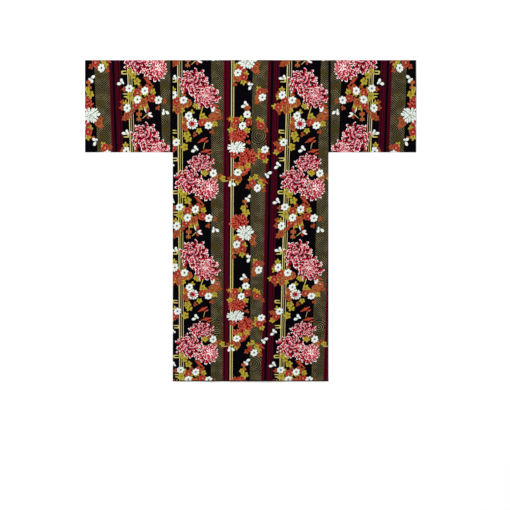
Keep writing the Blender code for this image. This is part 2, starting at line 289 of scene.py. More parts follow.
MOTIFS = {
    "pink_mum": mum("crimson", "rose", "pink", "blush", "deep_red", 3),
    "pale_mum": mum("rose", "pink", "blush", "blush", "crimson", 11),
    "red_mum": mum("scarlet", "scarlet", "scarlet", "coral", "deep_red", 19),
    "loose_petals": around(15, 0.30, 1.0, 0.13, CURLED, "crimson", "blush", uneven=0.4, curl=0.2,
                           seed=23),
    "white_mum": np.concatenate([
        spot(0.70, "mist"),
        around(20, 0.52, 1.0, 0.11, PETAL, "snow", "snow", uneven=0.4, curl=0.08, seed=28),
        around(15, 0.30, 0.76, 0.11, PETAL, "snow", "mist", uneven=0.4, turn=0.2, seed=29),
        around(9, 0.06, 0.48, 0.10, PETAL, "snow", "mist", uneven=0.4, seed=30)]),
    "daisy": np.concatenate([
        around(7, 0.05, 1.0, 0.37, PETAL, "snow", "mist", uneven=0.22, seed=5),
        spot(0.19, "night")]),
    "ringed_daisy": np.concatenate([
        around(13, 0.45, 1.0, 0.19, PETAL, "snow", "mist", uneven=0.15, seed=6),
        spot(0.52, "crimson", "blush"),
        around(5, 0.12, 0.44, 0.13, PETAL, "rose", "blush", seed=7), spot(0.12, "deep_red")]),
    "blossom": np.concatenate([
        around(5, 0.16, 1.0, 0.50, PETAL, "vermilion", "coral", uneven=0.14, seed=8),
        spot(0.24, "cream"), spot(0.12, "crimson")]),
    "orange_blossom": np.concatenate([
        around(6, 0.16, 1.0, 0.42, PETAL, "orange", "amber", uneven=0.2, seed=9),
        spot(0.18, "vermilion"), spot(0.09, "cream")]),
    "yellow_leaf": fan((-126, 126, -64, 64, 0), 0.02, (0.78, 0.78, 0.98, 0.98, 1.15), 0.33, LEAF,
                       "mustard", "ochre"),
    "small_leaf": fan((-58, 58, 0), 0.05, (0.9, 0.9, 1.2), 0.28, LEAF, "mustard", "ochre"),
    "orange_leaf": fan((-48, 48, 0), 0.05, (0.8, 0.8, 1.1), 0.27, LEAF, "orange", "rust"),
    "long_leaf": strokes([[-1.1, 0.0], [0.1, 0.6]], [[1.1, 0.0], [0.95, 0.6]], [0.30, 0.21], LEAF,
                         "vermilion", "amber"),
    "orange_spray": np.concatenate([
        strokes([[-1.0, 0.0]], [[0.7, 0.0]], 0.045, BAR, "straw", "straw"),
        fan((-152, 150, -36, 34, 0), 0.12, (0.85, 0.85, 0.9, 0.9, 1.15), 0.27, LEAF,
            "orange", "amber")]),
    "white_wings": fan((-46, 42, 112), 0.0, (1.2, 1.05, 0.5), 0.36, PETAL, "snow", "mist"),
    "bud": np.concatenate([
        strokes([[-0.8, 0.75]], [[0.1, 0.0]], 0.05, BAR, "straw", "straw"),
        fan((-66, 64), 0.1, (1.1, 0.8), 0.20, PETAL, "vermilion", "coral"),
        fan((-104, -12, 20), 0.1, (1.35, 1.0, 1.25), 0.19, PETAL, "snow", "rose")]),
    "fork": strokes(
        [[-0.95, -0.33], [-0.7, 0.33], [0.66, -0.46]], [[0.8, -0.33], [0.8, 0.33], [0.66, 0.46]],
        [0.13, 0.13, 0.18], BAR, "straw", "straw"),
    "twig": strokes([[-1.0, 0.1]], [[1.0, -0.1]], 0.05, BAR, "straw", "straw", curl=0.1),
}

# One repeat of the print, in the order in which the inks lie on each other.
LAYOUT = (
    # motif, size, then across, along and turn in degrees of each, and its squash if it has one
    ("fork", 16, ((132, 83, 0), (134, 290, 184), (136, 402, 0), (136, 535, 178), (139, 621, 0))),
    ("twig", 32, ((-84, 486, -8), (-200, 208, -70))),
    ("twig", 17, ((-189, 347, -75),)),
    ("orange_spray", 21, ((-254, 702, -85), (-16, 582, -90), (-11, 202, -80))),
    ("bud", 24, ((-222, 692, 0),)),
    ("long_leaf", 22, (
        (-181, 368, -12), (-195, 324, -29), (-212, 566, 40), (62, 486, 35), (-148, 183, 20))),
    ("orange_leaf", 18, (
        (-234, 300, 10), (-219, 553, -30), (-200, 584, 60), (-238, 584, 150), (-15, 97, -40),
        (35, 167, 150), (-8, 340, -70), (58, 523, 30), (-76, 482, 200), (-315, 648, 190),
        (-150, 640, 20), (-280, 674, 90), (-316, 214, 200), (-262, 190, -60), (-128, 232, 10),
        (-160, 284, 60), (-252, 282, 170), (-330, 340, 200), (-128, 470, -10), (-146, 500, 80),
        (24, 20, -10), (-60, 92, 120), (-78, 240, 190), (64, 280, 40), (46, 378, 160),
        (-60, 470, 170), (-306, 20, 200), (-176, 662, 60), (-214, 632, 0), (-268, 150, -120),
        (-240, 618, -80), (0, 510, 150))),
    ("yellow_leaf", 19, (
        (-197, 229, 10), (-260, 300, 80), (-266, 352, 180), (-187, 458, -60), (-258, 567, 60),
        (-270, 546, 200), (-287, 623, 150), (-12, 615, 90), (-216, 189, -20, 0.8),
        (-252, 318, 120, 0.8))),
    ("yellow_leaf", 15, (
        (-279, 201, 90), (-284, 532, 170), (-108, 479, 180), (-55, 25, 200), (-77, 284, 190),
        (-12, 286, -30), (39, 244, -110), (28, 472, 30), (47, 491, 40), (-192, 610, -60),
        (-145, 257, 40), (-209, 284, 90), (-330, 372, 160), (68, 404, 60), (-29, 87, 80),
        (-36, 241, -90), (-240, 242, -150), (-315, 122, -90), (-224, 660, 90), (-24, 598, 100))),
    ("white_wings", 19, (
        (-143, 197, 100), (-221, 364, 210), (-320, 429, 200), (-321, 576, 220), (-144, 679, 80),
        (6, 103, 170), (-16, 184, 210), (76, 460, 30), (-75, 496, 80), (-9, 557, 20),
        (-308, 75, -130, 0.8))),
    ("orange_blossom", 17, (
        (-254, 172, 10), (-296, 201, 50), (-154, 231, 15), (-135, 214, 70), (-262, 240, 40),
        (-145, 480, 30), (-233, 648, 0), (18, 35, 30), (-56, 73, 0), (-47, 478, 20),
        (-302, 696, 40), (-174, 250, 0), (36, 156, 55), (-268, 268, 20), (-276, 178, 20),
        (-66, 262, 30))),
    ("blossom", 17, (
        (-301, 165, 0), (-328, 190, 30), (-196, 252, 40), (-317, 357, 10), (-258, 611, 10),
        (-195, 632, 60), (-264, 659, 30), (-34, 37, 20), (-27, 69, 60), (42, 129, 30),
        (-57, 246, 10), (-5, 252, 35), (47, 266, 55), (58, 389, 45), (-65, 383, 0), (14, 499, 0),
        (-24, 452, 20), (-218, 600, 50))),
    ("loose_petals", 46, ((-202, 516, 20, 0.8), (-200, 118, 0, 0.8))),
    ("loose_petals", 42, ((-175, 533, 60, 0.9),)),
    ("pink_mum", 55, ((-200, 416, -10, 0.62),)),
    ("pink_mum", 57, ((-179, 147, 20, 0.84),)),
    ("pink_mum", 57, ((-254, 487, 100, 0.92),)),
    ("pale_mum", 38, ((-164, 516, 60),)),
    ("pale_mum", 27, ((-184, 143, 10, 0.85),)),
    ("pink_mum", 60, ((-231, 89, 35, 0.92),)),
    ("yellow_leaf", 13, ((-186, 456, 200), (-224, 186, 250))),
    ("red_mum", 38, (
        (-47, 306, 0, 0.74), (-7, 392, 40, 0.96), (-42, 655, 20, 0.86), (-29, 431, 70, 0.62))),
    ("yellow_leaf", 16, ((-8, 426, 30), (-36, 436, 100, 0.8))),
    ("white_mum", 37, ((-52, 354, 0, 0.66), (-12, 6, 25, 0.84))),
    ("ringed_daisy", 24, ((-237, 258, 0),)),
    ("daisy", 17, (
        (-313, 141, 0), (-272, 162, 30), (-251, 225, 10), (-170, 265, 40), (-303, 333, 20),
        (-150, 458, 0), (-291, 595, 50), (-225, 604, 15), (-169, 639, 30), (-303, 669, 0),
        (51, 151, 20), (-11, 220, 40), (-30, 266, 10), (66, 362, 30), (39, 518, 0), (-51, 51, 25),
        (-48, 455, 50), (-258, 637, 20))),
)
TUCKED = (("orange_leaf", 18, 0.8), ("small_leaf", 16, 0.7))
TUCKED_AWAY = (9, 17)
TUCKED_SPIN = 50


def with_tucked_leaves():
    """The layout with leaves peeping out from under the small flowers: at most one of each kind
    of TUCKED for a flower, about a flower's radius away from it at a random side."""
    rng = np.random.default_rng(41)
    flowers = np.array([place[:2] for name, _, places in LAYOUT for place in places
                        if name in ("blossom", "orange_blossom", "daisy")])
    tucked = []
    for name, size, share in TUCKED:
        some = flowers[rng.uniform(0, 1, len(flowers)) < share]
        angle = rng.uniform(0, 2 * np.pi, len(some))
        ray = np.stack([np.cos(angle), np.sin(angle)], 1)
        turn = np.degrees(angle) + rng.uniform(-TUCKED_SPIN, TUCKED_SPIN, len(some))
        near = some + ray * rng.uniform(*TUCKED_AWAY, len(some))[:, None]
        tucked.append((name, size, [(*at, spin) for at, spin in zip(near, turn)]))
    first = [name for name, _, _ in LAYOUT].index("orange_blossom")
    return [*LAYOUT[:first], *tucked, *LAYOUT[first:]]


def repeat_of_print():
    """The strokes of one repeat: every motif, squashed, turned, sized and put in its place."""
    made = []
    for name, size, places in with_tucked_leaves():
        for across, along, turn, *squashed in places:
            squash = squashed[0] if squashed else 1
            motif = MOTIFS[name].copy()
            angle = np.radians(turn)
            spun = np.array([[np.cos(angle), np.sin(angle)], [-np.sin(angle), np.cos(angle)]])
            for end in ("base", "tip"):
                flat = motif[end] @ spun * (1.0, squash)
                motif[end] = flat * size + (across, along)
            motif["half"] *= size * (1 + squash) / 2
            motif["curl"] *= size
            made.append(motif)
    return np.concatenate(made)


ONE_REPEAT = repeat_of_print()


def on_print(across, along, way):
    """The print's millimetres from a place on the cloth in millimetres: on the back its columns
    lean and close up with the way down, and along the cloth its place goes evenly between those
    of the way."""
    lean, wide, closing, on_the_cloth, on_the_print = way
    back = np.maximum(along, 0.0)
    return (across - lean * back) / (wide + closing * back), np.interp(
        along, on_the_cloth, on_the_print)


def on_cloth(across, along, way):
    """The place on the cloth of a place on the print: the inverse of on_print."""
    lean, wide, closing, on_the_cloth, on_the_print = way
    along = np.interp(along, on_the_print, on_the_cloth)
    back = np.maximum(along, 0.0)
    return across * (wide + closing * back) + lean * back, along


PETAL_SWELL = 1.45
PETAL_ROUND = 0.75
STROKE_STEPS = np.array([0.0, 0.16, 0.52, 0.84, 1.0, 0.84, 0.52, 0.16])
STROKE_SIDES = np.array([0.0, 1.0, 1.0, 1.0, 0.0, -1.0, -1.0, -1.0])


def half_width(share, shape):
    """A stroke's half width along it, as a share of its greatest: a petal swells towards its
    tip, a disc is round, a leaf is pointed at both ends, and a bar is straight."""
    petal = np.sin(np.pi * share**PETAL_SWELL) ** PETAL_ROUND
    disc = 2 * np.sqrt(np.maximum(share - share**2, 0))
    return np.select(
        [(shape == PETAL) | (shape == CURLED), shape == DISC, shape == LEAF],
        [petal, disc, np.sin(np.pi * share)], 1.0 * ((share > 0) & (share < 1)))


def frame_of(made):
    """Each stroke's length, its direction, and the direction across it."""
    run = made["tip"] - made["base"]
    length = np.linalg.norm(run, axis=1)
    ray = run / length[:, None]
    return length, ray, np.stack([-ray[:, 1], ray[:, 0]], 1)


def outlines(made):
    """The strokes' outlines, as an array of (stroke, point, 2), on the print."""
    length, ray, side = frame_of(made)
    share = np.broadcast_to(STROKE_STEPS, (len(made), len(STROKE_STEPS)))
    wide = half_width(share, made["shape"][:, None]) * STROKE_SIDES * made["half"][:, None]
    bent = made["curl"][:, None] * share**2
    return (made["base"][:, None] + ray[:, None] * (share * length[:, None])[..., None]
            + side[:, None] * (wide + bent)[..., None])


LARGEST_MOTIF = 60


def printed_on(low, high, shift, way):
    """The strokes of every repeat that may reach a stretch of cloth, moved to their places."""
    found = []
    first = np.floor((low - LARGEST_MOTIF + shift - FIRST_COLUMN) / REPEAT).astype(int)
    last = np.ceil((high + LARGEST_MOTIF + shift - FIRST_COLUMN) / REPEAT).astype(int)
    for i in range(first[0] - 1, last[0] + 1):
        for j in range(first[1] - 1, last[1] + 1):
            moved = ONE_REPEAT.copy()
            for end in ("base", "tip"):
                moved[end] += REPEAT * (i, j) - shift
            across, along = on_cloth(*((moved["base"] + moved["tip"]) / 2).T, way)
            near = np.linalg.norm(moved["tip"] - moved["base"], axis=1) + moved["half"]
            there = (across > low[0] - near) & (across < high[0] + near)
            there &= (along > low[1] - near) & (along < high[1] + near)
            found.append(moved[there])
    return np.concatenate(found)


# How the cloth is cut up into triangles: the rolled edge's width, how far apart the points are in
# the plain parts, the size of the cells that are cut one by one, and how close two points of
# neighbouring cells are when they are the same one.
EDGE_ROLL = 0.003
GRID_STEP = 0.0130
CELL = 0.080
CLOSE = 3e-5
ROW_SHIFT = 0.22
SLACK = 1e-5
INNER_COARSER = 1.3


def inset_lines(corners, distances):
    """Lines beside each side of a shape, at each distance inside it."""
    made = []
    for start, end in zip(corners, np.roll(corners, -1, axis=0)):
        run = (end - start) / np.linalg.norm(end - start)
        inward = np.array([-run[1], run[0]])
        made += [(start + inward * d, end + inward * d) for d in distances]
    return made


def joined(flat, triangles, at):
    """Makes one point of the points of neighbouring cells that lie at the same place on the
    cells' sides: along each side they are sorted, and those closer than CLOSE are one."""
    key = flat.copy()
    for axis, other in ((0, 1), (1, 0)):
        nearest = at[axis][np.abs(key[:, axis, None] - at[axis]).argmin(1)]
        on = np.abs(key[:, axis] - nearest) < CLOSE / 10
        key[on, axis] = nearest[on]
        values = key[on]
        order = np.lexsort((values[:, other], values[:, axis]))
        values = values[order]
        apart = np.abs(np.diff(values[:, other])) > CLOSE
        apart |= np.diff(values[:, axis]) != 0
        first = np.where(np.append(True, apart), np.arange(len(values)), 0)
        values[:, other] = values[np.maximum.accumulate(first), other]
        key[np.flatnonzero(on)[order]] = values
    key, number = np.unique(key, axis=0, return_inverse=True)
    triangles = number.reshape(-1)[triangles]
    whole = (triangles != np.roll(triangles, 1, axis=1)).all(1)
    return key, triangles[whole], whole


def stations(start, end, step):
    """Even places from start to end, at most a step apart."""
    return np.linspace(start, end, int(np.ceil((end - start) / step)) + 1)


def along_run(run, step):
    """Even places on a straight run between its ends, at most a step apart."""
    length = np.linalg.norm(run[1] - run[0])
    share = stations(0.0, 1.0, min(1.0, step / length))[1:-1, None]
    return run[0] + share * (run[1] - run[0])


def cut_up(corners, lines, step, rings):
    """Triangles of a shape through all lines and closed outlines, and for each triangle the
    number of the last outline that it is in, or -1. Each cell of a grid is cut by itself, with
    points a step apart in it and on its lines, every other row of them moved by ROW_SHIFT."""
    low, high = corners.min(0), corners.max(0)
    runs = [*map(np.array, lines), *np.stack([corners, np.roll(corners, -1, axis=0)], 1)]
    on_lines = np.concatenate([along_run(run, step) for run in runs])
    at = [np.linspace(a, b, max(2, int(np.ceil((b - a) / CELL)) + 1)) for a, b in zip(low, high)]
    bounds = np.array([[ring.min(0), ring.max(0)] for ring in rings]).reshape(-1, 2, 2)
    flats, cut, tops, total = [], [], [], 0
    for x0, x1 in zip(at[0][:-1], at[0][1:]):
        for y0, y1 in zip(at[1][:-1], at[1][1:]):
            near = (bounds[:, 1] > (x0, y0)).all(1) & (bounds[:, 0] < (x1, y1)).all(1)
            near = np.flatnonzero(near)
            xs, ys = stations(x0, x1, step)[1:-1], stations(y0, y1, step)[1:-1]
            grid = np.stack(np.meshgrid(xs, ys, indexing="xy"), -1)
            grid[::2, :, 0] += ROW_SHIFT * step
            xs, ys = stations(x0, x1, GRID_STEP), stations(y0, y1, GRID_STEP)
            sides = [np.stack([xs, y + 0 * xs], 1) for y in (y0, y1)]
            sides += [np.stack([x + 0 * ys, ys], 1) for x in (x0, x1)]
            here = [line for line in map(np.array, lines)
                    if (line.max(0) >= (x0, y0)).all() and (line.min(0) <= (x1, y1)).all()]
            cell = np.array([(x0, y0), (x1, y0), (x1, y1), (x0, y1)])
            inside = (on_lines > (x0, y0)).all(1) & (on_lines < (x1, y1)).all(1)
            places = [corners, cell] + [rings[k] for k in near] + here + sides
            places += [grid.reshape(-1, 2), on_lines[inside]]
            starts = np.cumsum([0] + [len(place) for place in places])
            ringed = 2 + len(near)
            edges = [(int(s), int(s) + 1) for s in starts[ringed : ringed + len(here)]]
            faces = [list(range(starts[k], starts[k + 1])) for k in range(ringed)]
            flat, _, triangles, _, _, owners = delaunay_2d_cdt(
                np.concatenate(places).tolist(), edges, faces, 0, CLOSE / 100, True)
            kept = np.array([0 in found and 1 in found for found in owners])
            if kept.any():
                top = np.array([max(found, default=0) for found in owners])[kept] - 2
                flats.append(np.array(flat))
                cut.append(np.array(triangles)[kept] + total)
                tops.append(np.where(top < 0, -1, np.append(near, -1)[top]))
                total += len(flat)
    flat, triangles, whole = joined(np.concatenate(flats), np.concatenate(cut), at)
    flat, triangles = compact(flat, triangles)
    return flat, triangles, np.concatenate(tops)[whole]


def round_the_shape(corners, points):
    """Border points in their order round a shape: by the side that each is nearest, of those
    that it lies between the ends of, and then by its way along that side."""
    run = np.roll(corners, -1, axis=0) - corners
    away = points[:, None] - corners
    length = np.linalg.norm(run, axis=1)
    share = (away * run).sum(2) / length**2
    off = np.abs(away[..., 0] * run[:, 1] - away[..., 1] * run[:, 0]) / length
    off = np.where((share > -SLACK) & (share < 1.0 + SLACK), off, np.inf)
    side = off.argmin(1)
    share = np.clip(share[np.arange(len(points)), side], 0.0, 1.0 - SLACK / 10)
    return points[np.argsort(side + share)]


def boundary_of(triangles):
    """The edges with a triangle on one side only, in that triangle's order."""
    edges = np.concatenate([triangles[:, [0, 1]], triangles[:, [1, 2]], triangles[:, [2, 0]]])
    key = np.sort(edges, axis=1) @ np.array([triangles.max() + 1, 1])
    _, where, count = np.unique(key, return_index=True, return_counts=True)
    return edges[where[count == 1]]


def compact(flat, triangles):
    """The points that the triangles use, and the triangles renumbered to them."""
    used, renumbered = np.unique(triangles, return_inverse=True)
    return flat[used], renumbered.reshape(-1, 3)


SHARP_FROM = 40
WELD = 8e-6


def mesh_of(name, points, faces):
    """A mesh of triangles from whole arrays."""
    mesh = bpy.data.meshes.new(name)
    mesh.vertices.add(len(points))
    mesh.vertices.foreach_set("co", points.astype(np.float32).ravel())
    mesh.loops.add(faces.size)
    mesh.loops.foreach_set("vertex_index", faces.astype(np.int32).ravel())
    mesh.polygons.add(len(faces))
    mesh.polygons.foreach_set("loop_start", np.arange(0, faces.size, 3, dtype=np.int32))
    mesh.update(calc_edges=True)
    return mesh


def add_values(mesh, name, kind, domain, field, values):
    """A named attribute of a mesh, filled from a whole array."""
    attribute = mesh.attributes.new(name, kind, domain)
    attribute.data.foreach_set(field, values.astype(np.float32).ravel())


def add_map(mesh, name, places):
    """A UV map from an array of (face, corner, 2) or (corner, 2)."""
    mesh.uv_layers.new(name=name).data.foreach_set("uv", places.astype(np.float32).ravel())


def weld(mesh):
    """Joins the rim's points to the inner side's, which lie at the same places."""
    work = bmesh.new()
    work.from_mesh(mesh)
    bmesh.ops.remove_doubles(work, verts=work.verts, dist=WELD)
    work.to_mesh(mesh)
    work.free()


def mark_strokes(mesh, made, top, faces, places):
    """What the cotton's material reads on each triangle: its stroke's two inks, and at each of
    its corners the way across the stroke in half widths, the way along it as a share, and the
    stroke's kind, which is 0 on plain cloth and -1 inside the boxes of painted shade."""
    owner = np.full(len(faces), -1)
    owner[: len(top)] = top
    shown = (owner >= 0) & (owner < len(made))
    stroke = made[np.where(shown, owner, 0)]
    length, ray, side = (np.repeat(part, 3, axis=0) for part in frame_of(stroke))
    away = places[faces.ravel()] - np.repeat(stroke["base"], 3, axis=0)
    share = (away * ray).sum(1) / length
    off = (away * side).sum(1) - np.repeat(stroke["curl"], 3) * share**2
    off = off / np.repeat(stroke["half"], 3)
    drawn = 1.0 + (stroke["shape"] == LEAF) + 2.0 * (stroke["shape"] == CURLED)
    kind = np.repeat(np.where(shown, drawn, 0.0), 3)
    # Triangles inside the boxes of painted shade.
    kind[np.repeat(owner >= len(made), 3)] = -1.0
    inner_side = np.zeros(len(faces))
    inner_side[len(top) :] = 1.0
    add_values(mesh, "stroke_place", "FLOAT_VECTOR", "CORNER", "vector",
               np.stack([off, share, kind], 1))
    for name, inks in (("fill_ink", stroke["fill"]), ("rim_ink", stroke["rim"])):
        add_values(mesh, name, "FLOAT_COLOR", "FACE", "color",
                   np.pad(inks, ((0, 0), (0, 1)), constant_values=1.0))
    add_values(mesh, "inner_side", "FLOAT", "FACE", "value", inner_side)


# The OFBake map of places: the outer side in columns, which take OUTER_SHARE of its
# width, the rim as a thin border round them, and the inner side in a strip beside them.
OUTER_SHARE = 0.93
COLUMN = (0.03, 0.94)
INNER_STRIP = (0.94, 0.05)
ALONG_MAP = (0.01, 0.98)
RIM_BORDER = 0.004


def bake_map(share, faces, border, outer, points, columns):
    """The map's places, from the points' places as shares of the piece's box. The first outer
    faces and points are the outer side's, which is cut across into columns laid side by side. Two
    faces for each border edge are the rim, whose inner points are moved out from that edge."""
    column = np.clip(np.floor(share[faces, 1].mean(1) * columns), 0, columns - 1)[:, None]
    across = (column + COLUMN[0] + COLUMN[1] * share[faces, 0]) / columns * OUTER_SHARE
    along = ALONG_MAP[0] + ALONG_MAP[1] * (share[faces, 1] * columns - column)
    bake = np.stack([across, along], -1)
    rim = slice(outer, outer + 2 * len(border))
    run = share[border[:, 1]] - share[border[:, 0]]
    outward = np.stack([run[:, 1], -run[:, 0]], 1) / np.linalg.norm(run, axis=1)[:, None]
    at_inner = (faces[rim] >= points)[..., None]
    bake[rim] += RIM_BORDER * at_inner * np.concatenate([outward, outward])[:, None]
    strip = np.stack([INNER_STRIP[0] + INNER_STRIP[1] * share[faces, 0],
                      ALONG_MAP[0] + ALONG_MAP[1] * share[faces, 1]], -1)
    bake[rim.stop :] = strip[rim.stop :]
    return bake


def cloth_piece(name, corners, lines, surface, shift=(0, 0), way=STRAIGHT, mirrored=False,
                shade_boxes=()):
    """A piece of printed cloth: its shape is cut up along the print's outlines, and each point
    goes where surface, a function of the two flat coordinates, puts its outer and inner side.
    The inner side is cut up more coarsely, and a rim joins the two along the shape's edge. The
    print is moved by shift, lies in its way, runs from right to left where mirrored, and is
    painted over in the dark ground's ink inside the boxes of painted shade."""
    corners = np.array(corners)
    low, high = corners.min(0), corners.max(0)
    columns = max(1, round(((high - low)[1] / (high - low)[0]) ** 0.5))
    lines = lines + inset_lines(corners, (EDGE_ROLL / 3, EDGE_ROLL))
    lines += [(box[k - 1], box[k]) for box in shade_boxes for k in range(4)]
    lines += [((low[0], y), (high[0], y)) for y in np.linspace(low[1], high[1], columns + 1)[1:-1]]
    flip = np.array([-1.0 if mirrored else 1.0, 1.0])
    span = np.sort(np.array([low, high]) * flip, axis=0) * 1000
    made = printed_on(span[0], span[1], np.array(shift), way)
    rings = outlines(made)
    rings = np.stack(on_cloth(rings[..., 0], rings[..., 1], way), -1) * flip / 1000
    rings = rings if mirrored else rings[:, ::-1]
    rings = [*rings, *[np.array(box) for box in shade_boxes]]

    flat, triangles, top = cut_up(corners, lines, GRID_STEP, rings)
    border = boundary_of(triangles)
    edge = np.unique(border)
    outline = round_the_shape(corners, flat[edge])
    inner_flat, inner_triangles, _ = cut_up(outline, lines, INNER_COARSER * GRID_STEP, [])

    outer, inner = surface(flat[:, 0], flat[:, 1])
    _, far = surface(inner_flat[:, 0], inner_flat[:, 1])
    below = np.zeros(len(flat), int)
    below[edge] = np.arange(len(edge)) + len(flat)
    a, b = border[:, 0], border[:, 1]
    rim = np.concatenate([np.stack([b, a, below[a]], 1), np.stack([b, below[a], below[b]], 1)])
    far_side = inner_triangles[:, ::-1] + len(flat) + len(edge)
    faces = np.concatenate([triangles, rim, far_side])
    one, two, three = (outer[triangles[:, k]] for k in range(3))
    facing = (np.cross(two - one, three - one) * (one - inner[triangles[:, 0]])).sum()
    if facing < 0:
        faces = faces[:, ::-1]

    mesh = mesh_of("printed_" + name, np.concatenate([outer, inner[edge], far]), faces)
    place = np.concatenate([flat, flat[edge], inner_flat]) * 1000 * flip
    print_at = np.stack(on_print(place[:, 0], place[:, 1], way), 1) + shift
    mark_strokes(mesh, made, top, faces, print_at - shift)
    add_map(mesh, "Cloth", print_at[faces.ravel()] / 1000)
    share = (place / 1000 * flip - low) / (high - low)
    add_map(mesh, "OFBake", bake_map(share, faces, border, len(triangles), len(flat), columns))
    weld(mesh)
    mesh.shade_smooth()
    mesh.set_sharp_from_angle(angle=np.radians(SHARP_FROM))
    piece = bpy.data.objects.new("printed_" + name, mesh)
    bpy.context.scene.collection.objects.link(piece)
    mesh.materials.append(printed_cotton)
    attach(piece, "root")
    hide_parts(name)
    return piece


# The cotton itself: plain-woven, printed on its right side. Its stripes and their patterns come
# from the place on the print, the flowers from the strokes, and the weave with its uneven yarns
# from the same place.
STRIPES = (
    # left edge in mm, colour, and what is drawn in it: 1 a banded pattern, 0.5 dots
    (-314.0, (3, 2, 6), 0.0), (-296.8, (208, 194, 124), 0.0), (-294.5, (10, 8, 4), 0.0),
    (-288.7, (200, 186, 118), 0.0), (-286.4, (10, 8, 4), 0.0), (-280.2, (214, 200, 132), 0.0),
    (-277.6, (3, 2, 6), 0.0), (-160.0, (40, 38, 24), 1.0), (-109.0, (116, 20, 32), 0.5),
    (-105.5, (58, 2, 17), 0.0), (-103.0, (18, 0, 6), 0.0), (-99.5, (66, 2, 20), 0.0),
    (-85.0, (3, 2, 6), 0.0), (-77.9, (204, 190, 124), 0.0), (-75.5, (12, 9, 4), 0.0),
    (-69.6, (190, 174, 104), 0.0), (-66.6, (3, 2, 6), 0.0), (8.5, (40, 38, 24), 1.0),
    (70.0, (116, 20, 32), 0.5), (73.5, (54, 3, 17), 0.0), (84.0, (5, 1, 7), 0.0),
    (93.0, (60, 4, 19), 0.0), (98.0, (22, 0, 10), 0.0), (101.0, (66, 4, 21), 0.0),
    (107.0, (22, 0, 10), 0.0), (110.5, (60, 4, 19), 0.0), (118.5, (3, 2, 6), 0.0),
)
STRIPE_WANDER = 0.0012

# The banded patterns, in millimetres: the bands' middles, the length of their cells, by what share
# of it the first band's are ahead and by how many its numbers are, the lines' pitch and slopes, and
# the random numbers below which a cell holds rings and above which ridges.
BAND_CENTRES = (-134.5, 39.0)
BAND_CELL = 68.0
BAND_AHEAD = 0.4
BAND_NUMBERS_AHEAD = 40.0
BAND_PITCH = 8.5
LOZENGE_SLOPE = 0.85
RIDGE_SLOPE = 0.8
RINGS_BELOW = 0.10
RIDGES_ABOVE = 0.50
BAND_DARK = (15, 14, 9)
BAND_LINES = (117, 107, 76)
BAND_PATCH = (60, 51, 19)
DOT_PITCH = 8.0
DOT_DARK = (28, 6, 12)


def node_group(name, takes, gives):
    """An empty node group with the named inputs and outputs."""
    tree = bpy.data.node_groups.new(name, "ShaderNodeTree")
    for in_out, sockets in (("INPUT", takes), ("OUTPUT", gives)):
        for label, kind in sockets.items():
            tree.interface.new_socket(label, in_out=in_out, socket_type="NodeSocket" + kind)
    takes = tree.nodes.new("NodeGroupInput").outputs
    return tree, takes, tree.nodes.new("NodeGroupOutput").inputs


def join(tree, value, socket):
    """Links a node's output to a socket, or sets the socket to a number or colour."""
    if isinstance(value, bpy.types.NodeSocket):
        tree.links.new(value, socket)
    else:
        socket.default_value = value


def made_of(tree, kind, settings, inputs, output=0):
    """A node with its settings and inputs, by name or number; gives one of its outputs."""
    node = tree.nodes.new("ShaderNode" + kind)
    for label, value in settings.items():
        setattr(node, label, value)
    for label, value in inputs.items():
        join(tree, value, node.inputs[label])
    return node.outputs[output]


def sums(tree, operation, *values):
    """The result of one operation on numbers or outputs."""
    return made_of(tree, "Math", {"operation": operation}, dict(enumerate(values)))


def mixed(tree, share, one, other, blend="MIX"):
    """Two colours mixed by a share."""
    return made_of(tree, "Mix", {"data_type": "RGBA", "blend_type": blend},
                   {0: share, 6: one, 7: other}, 2)


def rising(tree, value, low, high, start=0.0, end=1.0):
    """The smooth step from start to end as a value goes from low to high."""
    return made_of(tree, "MapRange", {"interpolation_type": "SMOOTHSTEP"},
                   {0: value, 1: low, 2: high, 3: start, 4: end})


def rough_of(tree, place, scale, detail=2.0, stretch=None):
    """A noise's height, 0 to 1, at a scale for each metre, drawn out by stretch."""
    if stretch:
        place = made_of(tree, "Mapping", {}, {"Vector": place, "Scale": stretch})
    return made_of(tree, "TexNoise", {"noise_dimensions": "3D"},
                   {"Vector": place, "Scale": scale, "Detail": detail})


def one_or_other(tree, share, one, other):
    """The first of two numbers where the share is 0, and the other where it is 1."""
    return sums(tree, "ADD", one, sums(tree, "MULTIPLY", share, sums(tree, "SUBTRACT", other, one)))


def waves(tree, value, pitch):
    """The sine of a value, a pitch long."""
    return sums(tree, "SINE", sums(tree, "MULTIPLY", value, 2 * np.pi / pitch))


def ink(name_or_rgb):
    """A colour socket's value."""
    return (*linear(name_or_rgb), 1.0)


